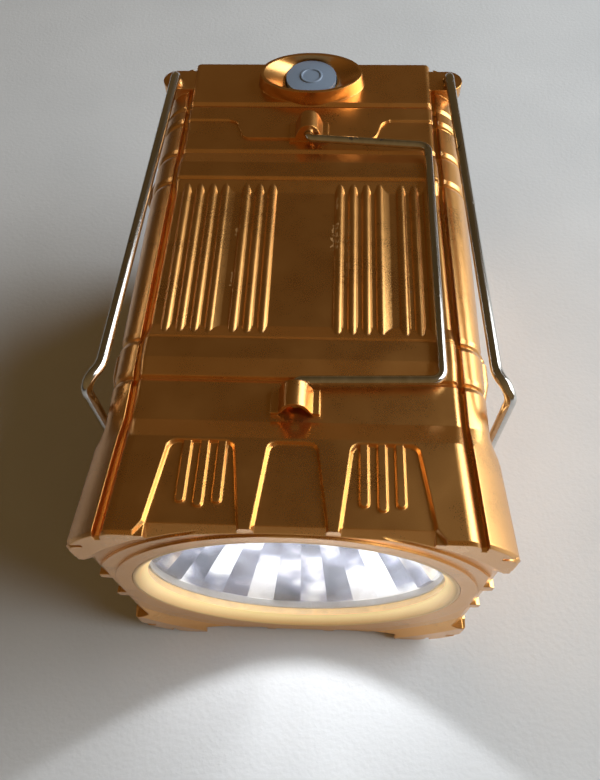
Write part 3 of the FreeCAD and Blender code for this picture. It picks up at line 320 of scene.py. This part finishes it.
def rubbed_ribs(paint):
    """Mask of the paint rubbed off along the edges of some rib crests, with ragged borders."""
    x, y, z = paint.split()
    ragged = paint.range(paint.noise(1300, 5), 0.40, 0.60, 0.0, 1.0)
    front = paint.maths("GREATER_THAN", z, RUB_LEVEL)
    mask = None
    for rib_x, low_y, high_y, half in RUBS:
        aside = paint.maths("ABSOLUTE", paint.maths("SUBTRACT", x, rib_x), 0)
        near = paint.maths("LESS_THAN", aside, paint.maths("MULTIPLY", ragged, half))
        above = paint.maths("GREATER_THAN", y, low_y)
        inside = paint.maths("MULTIPLY", above, paint.maths("LESS_THAN", y, high_y))
        rub = paint.maths("MULTIPLY", paint.maths("MULTIPLY", near, inside), front)
        mask = paint.maths("MAXIMUM", mask, rub) if mask else rub
    return mask


def lint(paint):
    """Mask of a few pale specks of dust."""
    spots = paint.node("ShaderNodeTexVoronoi")
    spots.inputs["Scale"].default_value = LINT_SCALE
    paint.link(paint.places, spots.inputs["Vector"])
    speck = paint.maths("LESS_THAN", spots.outputs["Distance"], LINT_SIZE)
    chosen = paint.node("ShaderNodeSeparateColor")
    paint.link(spots.outputs["Color"], chosen.inputs[0])
    return paint.maths("MULTIPLY", speck, paint.maths("LESS_THAN", chosen.outputs[0], LINT_SHARE))


def metallic_paint(name, tint, deep, roughness, edge, metal=1.0):
    """Metallic lacquer on plastic: flakes, slight orange peel, softened edges, rubbed ribs and lint."""
    paint = Paint(name)
    broad = paint.noise(40, 3)
    flakes = paint.noise(5200, 1)
    blend = paint.maths("ADD", paint.range(broad, 0.3, 0.7, 0.0, 0.25),
                        paint.range(flakes, 0.35, 0.65, 0.0, 0.3))
    rubbed = rubbed_ribs(paint)
    specks = lint(paint)
    colour = paint.mix(rubbed, paint.mix(blend, tint, deep), WORN)
    paint.link(paint.mix(specks, colour, LINT_COLOUR), paint.shader.inputs["Base Color"])
    rough = paint.maths("ADD", paint.range(paint.noise(90, 4), 0.3, 0.7, roughness - 0.04, roughness + 0.05),
                        paint.range(flakes, 0.3, 0.7, -0.03, 0.03))
    bare = paint.maths("MAXIMUM", rubbed, specks)
    rougher = paint.maths("ADD", rough, paint.maths("MULTIPLY", bare, 0.3))
    paint.link(rougher, paint.shader.inputs["Roughness"])
    paint.link(paint.range(bare, 0.0, 1.0, metal, 0.4), paint.shader.inputs["Metallic"])
    height = paint.maths("ADD", paint.range(flakes, 0.3, 0.7, 0.0, 0.35), paint.noise(420, 2))
    paint.bump(paint.maths("SUBTRACT", height, rubbed), 0.045, 0.0002, edge)
    paint.set(Coat_Weight=0.6, Coat_Roughness=0.24)
    return paint


def bezel_painted_glow():
    """Paler metallic lacquer whose bore carries a painted glow: emission in place of the torch light it
    catches at the edge of the lens.
    """
    paint = metallic_paint("bezel_paint", GOLD_PALE, GOLD, 0.34, 0.0003, 0.35)
    radius, _ = paint.polar()
    # painted glow: emission ring on the bore in place of the light it catches
    painted_glow = paint.range(radius, *PAINTED_BORE_RADII, 0.0, PAINTED_BORE_STRENGTH)
    paint.link(painted_glow, paint.shader.inputs["Emission Strength"])
    paint.set(Emission_Color=(*PAINTED_BORE_GLOW, 1))
    return paint.material


def plated_wire():
    """Nickel-plated wire with faint drawing marks and a few dark nicks."""
    paint = Paint("plated_wire")
    lines = paint.noise(700, 3, paint.stretched((1, 0.05, 1)))
    nicks = paint.range(paint.noise(420, 3), 0.68, 0.72, 0.0, 1.0)
    sheen = paint.ramp(lines, [(0.3, (0.60, 0.58, 0.55)), (0.7, (0.72, 0.70, 0.67))])
    paint.link(paint.mix(nicks, sheen, (0.16, 0.13, 0.10)), paint.shader.inputs["Base Color"])
    rough = paint.range(lines, 0.3, 0.7, 0.12, 0.19)
    rougher = paint.maths("ADD", rough, paint.maths("MULTIPLY", nicks, 0.3))
    paint.link(rougher, paint.shader.inputs["Roughness"])
    paint.set(Metallic=1.0)
    paint.bump(lines, 0.03, 0.0001)
    return paint.material


def moulded_plastic(name, colour, shade, roughness):
    """Plain moulded plastic with a fine spark texture."""
    paint = Paint(name)
    paint.link(paint.mix(paint.noise(60, 3), shade, colour), paint.shader.inputs["Base Color"])
    grain = paint.noise(2600, 3)
    rough = paint.range(grain, 0.3, 0.7, roughness - 0.05, roughness + 0.08)
    paint.link(rough, paint.shader.inputs["Roughness"])
    paint.bump(grain, 0.12, 0.0001, 0.0002)
    return paint.material


def mirror_coat(name):
    """Metallised plastic with faint haze."""
    paint = Paint(name)
    haze = paint.noise(140, 4)
    paint.link(paint.ramp(haze, [(0.3, (0.84, 0.84, 0.86)), (0.7, (0.93, 0.93, 0.94))]),
               paint.shader.inputs["Base Color"])
    paint.link(paint.range(haze, 0.3, 0.7, 0.06, 0.16), paint.shader.inputs["Roughness"])
    paint.set(Metallic=1.0)
    return paint.material


def torch_mirror_painted_streaks():
    """Metallised reflector of the lit torch with painted reflections: each facet carries a painted streak of
    the emitter, as emission and as lighter base colour.
    """
    paint = Paint("torch_mirror_painted_streaks")
    radius, angle = paint.polar()
    facet = paint.maths("SNAP", angle, 2 * math.pi / REFLECTOR_FACETS)
    places = paint.node("ShaderNodeCombineXYZ")
    paint.link(paint.maths("MULTIPLY", facet, 2.2), places.inputs[0])
    paint.link(paint.maths("MULTIPLY", radius, 60), places.inputs[1])
    paint.link(paint.maths("MULTIPLY", angle, 0.6), places.inputs[2])
    # painted reflection: streak pattern of the emitter laid on each facet
    painted_streaks = paint.noise(1.6, 3, places.outputs[0])
    painted_glow = paint.ramp(painted_streaks, [(0.42, (0.01, 0.01, 0.02)),
                                (0.50, (0.20, 0.21, 0.30)),
                                (0.57, (1.0, 1.0, 1.0))])
    haze = paint.noise(140, 4)
    # painted reflection: base colour lighter along the same streaks
    painted_streak_facets = paint.ramp(painted_streaks, [(0.42, (0.20, 0.21, 0.25)),
                                  (0.50, (0.42, 0.43, 0.50)),
                                  (0.57, (0.93, 0.93, 0.94))])
    paint.link(painted_streak_facets, paint.shader.inputs["Base Color"])
    paint.link(paint.range(haze, 0.3, 0.7, 0.10, 0.18), paint.shader.inputs["Roughness"])
    # painted glow: the streaks as emission, though the reflector is no lamp
    paint.link(painted_glow, paint.shader.inputs["Emission Color"])
    paint.set(Metallic=1.0, Emission_Strength=PAINTED_STREAK_STRENGTH)
    return paint.material


def clear_plastic(name, tint, alpha):
    """Clear moulded plastic with fine scratches."""
    paint = Paint(name)
    scratches = paint.noise(300, 6, paint.stretched((1, 1, 0.15)))
    paint.link(paint.mix(scratches, tint, (0.95, 0.96, 0.98)), paint.shader.inputs["Base Color"])
    paint.link(paint.range(scratches, 0.4, 0.7, 0.03, 0.10), paint.shader.inputs["Roughness"])
    dense = paint.range(scratches, 0.35, 0.75, alpha * 0.7, alpha * 1.6)
    paint.link(dense, paint.shader.inputs["Alpha"])
    paint.set(IOR=1.5)
    return paint.material


def fluted_tube():
    """Clear lamp tube with fine prisms along its length that spread the light."""
    paint = Paint("fluted_tube")
    x, _, z = paint.split()
    angle = paint.maths("ARCTAN2", x, paint.maths("SUBTRACT", z, AXIS_HEIGHT))
    prisms = paint.maths("SINE", paint.maths("MULTIPLY", angle, TUBE_PRISMS), 0)
    haze = paint.noise(120, 4)
    tint = paint.mix(haze, (0.80, 0.85, 0.90), (0.93, 0.95, 0.97))
    paint.link(tint, paint.shader.inputs["Base Color"])
    paint.link(paint.range(haze, 0.3, 0.7, 0.05, 0.14), paint.shader.inputs["Roughness"])
    paint.link(paint.range(prisms, -1.0, 1.0, 0.24, 0.52), paint.shader.inputs["Alpha"])
    paint.set(IOR=1.5)
    paint.bump(prisms, 0.35, 0.0004)
    return paint.material


def steel(name, colour, roughness):
    """Plated or bare metal with a fine grain."""
    paint = Paint(name)
    grain = paint.noise(1400, 3)
    dark = tuple(part * 0.7 for part in colour)
    paint.link(paint.mix(grain, dark, colour), paint.shader.inputs["Base Color"])
    rough = paint.range(grain, 0.3, 0.7, roughness - 0.06, roughness + 0.08)
    paint.link(rough, paint.shader.inputs["Roughness"])
    paint.set(Metallic=1.0)
    paint.bump(grain, 0.1, 0.0001)
    return paint.material


def solar_cells():
    """Dark blue cells between silver fingers."""
    paint = Paint("solar_cells")
    x, _, z = paint.split()
    bus = paint.maths("LESS_THAN", paint.maths("PINGPONG", x, BUS_PITCH), BUS_WIDTH)
    finger = paint.maths("LESS_THAN", paint.maths("PINGPONG", z, FINGER_PITCH), FINGER_WIDTH)
    metal = paint.maths("MAXIMUM", bus, finger)
    cell = paint.mix(paint.noise(120, 3), (0.012, 0.018, 0.055), (0.03, 0.045, 0.12))
    paint.link(paint.mix(metal, cell, (0.55, 0.57, 0.60)), paint.shader.inputs["Base Color"])
    paint.link(paint.range(paint.noise(500, 2), 0.3, 0.7, 0.22, 0.34), paint.shader.inputs["Roughness"])
    return paint.material


def board(name, colour, pad):
    """Circuit board: solder mask with plated pads."""
    paint = Paint(name)
    spots = paint.node("ShaderNodeTexVoronoi")
    spots.inputs["Scale"].default_value = 260
    paint.link(paint.places, spots.inputs["Vector"])
    dots = paint.maths("LESS_THAN", spots.outputs["Distance"], 0.16)
    mask = paint.mix(paint.noise(220, 4), tuple(part * 0.75 for part in colour), colour)
    paint.link(paint.mix(dots, mask, pad), paint.shader.inputs["Base Color"])
    paint.link(paint.range(paint.noise(800, 2), 0.3, 0.7, 0.3, 0.45), paint.shader.inputs["Roughness"])
    return paint.material


def emitter():
    """Phosphor under clear resin, switched on."""
    paint = Paint("emitter")
    grain = paint.ramp(paint.noise(1500, 2), [(0.3, (0.95, 0.88, 0.45)), (0.7, (1.0, 0.96, 0.72))])
    paint.link(grain, paint.shader.inputs["Base Color"])
    paint.set(Roughness=0.3, Emission_Color=(1.0, 0.97, 0.92, 1), Emission_Strength=EMITTER_STRENGTH)
    return paint.material


def silicone():
    """White silicone with a waxy surface."""
    paint = Paint("gasket_silicone")
    grain = paint.noise(1800, 3)
    paint.link(paint.ramp(grain, [(0.3, (0.72, 0.72, 0.70)), (0.7, (0.80, 0.80, 0.78))]),
               paint.shader.inputs["Base Color"])
    paint.link(paint.range(grain, 0.3, 0.7, 0.42, 0.55), paint.shader.inputs["Roughness"])
    paint.bump(grain, 0.2, 0.0001)
    return paint.material


def button_sign(finish):
    """Raised ring on the button, half sunk in its dome."""
    low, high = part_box("power_button")
    middle = Vector(((low[0] + high[0]) / 2, BUTTON_Y, high[2] - SIGN_SINK))
    shape = bmesh.new()
    rows = []
    for step in range(SIGN_STEPS):
        turn = 2 * math.pi * step / SIGN_STEPS
        painted_shade = Vector((math.cos(turn), math.sin(turn), 0))
        row = []
        for spoke in range(SIGN_SIDES):
            lean = 2 * math.pi * spoke / SIGN_SIDES
            reach = SIGN_RADIUS + SIGN_HALF_WIDTH * math.cos(lean)
            row.append(shape.verts.new(middle + reach * painted_shade + Vector((0, 0, SIGN_HEIGHT * math.sin(lean)))))
        rows.append(row)
    for first, second in zip(rows, rows[1:] + rows[:1]):
        for spoke in range(SIGN_SIDES):
            after = (spoke + 1) % SIGN_SIDES
            shape.faces.new((first[spoke], second[spoke], second[after], first[after]))
    mesh = bpy.data.meshes.new("button_sign")
    shape.to_mesh(mesh)
    shape.free()
    for face in mesh.polygons:
        face.use_smooth = True
    mesh.materials.append(finish)
    sign = bpy.data.objects.new("button_sign", mesh)
    bpy.context.collection.objects.link(sign)
    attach(sign, "button")


def dress_nodes():
    """Give every CAD node its finish."""
    shell = metallic_paint("shell_paint", GOLD, GOLD_DEEP, 0.30, 0.0004).material
    bezel = bezel_painted_glow()
    white = moulded_plastic("white_plastic", (0.72, 0.72, 0.70), (0.62, 0.62, 0.60), 0.45)
    grey_blue = moulded_plastic("button_plastic", (0.23, 0.30, 0.40), (0.19, 0.245, 0.335), 0.38)
    black = moulded_plastic("black_plastic", (0.03, 0.03, 0.03), (0.02, 0.02, 0.02), 0.4)
    mirror = mirror_coat("mirror_coat")
    lens = clear_plastic("clear_lens", (0.80, 0.84, 0.92), 0.16)
    cover = clear_plastic("clear_cover", (0.70, 0.78, 0.88), 0.16)
    zinc = steel("zinc_steel", (0.58, 0.58, 0.60), 0.32)
    nickel = steel("nickel_shell", (0.66, 0.66, 0.68), 0.25)
    film = steel("laminate_film", (0.62, 0.63, 0.65), 0.45)
    wire = plated_wire()
    light = emitter()
    white_board = board("white_board", (0.80, 0.80, 0.78), (0.70, 0.62, 0.45))
    green_board = board("green_board", (0.03, 0.16, 0.07), (0.60, 0.55, 0.40))
    finishes = {
        "body_shell": shell,
        "torch_bezel": bezel,
        "torch_lens": lens,
        "lens_gasket": silicone(),
        "torch_reflector": torch_mirror_painted_streaks(),
        "torch_led": light,
        "torch_led_board": white_board,
        "partition_plate": white,
        "partition_screws": zinc,
        "guide_ring": white,
        "lamp_tube": fluted_tube(),
        "tube_foot": mirror,
        "lamp_cone": mirror,
        "lamp_led_plate": white_board,
        "lamp_leds": light,
        "cap_shell": shell,
        "cap_floor": white,
        "cap_screws": zinc,
        "solar_panel": solar_cells(),
        "solar_cover": cover,
        "battery_cell": film,
        "control_board": green_board,
        "push_switch": black,
        "usb_socket": nickel,
        "power_button": grey_blue,
        "bail_right": wire,
        "bail_left": wire,
        "front_handle": wire,
    }
    for name, finish in finishes.items():
        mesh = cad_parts[name].data
        mesh.materials.clear()
        mesh.materials.append(finish)
    button_sign(grey_blue)


bpy.context.scene.view_settings.view_transform = "Standard"
camera()
studio_world()
lamps()
pale_floor()
dress_nodes()
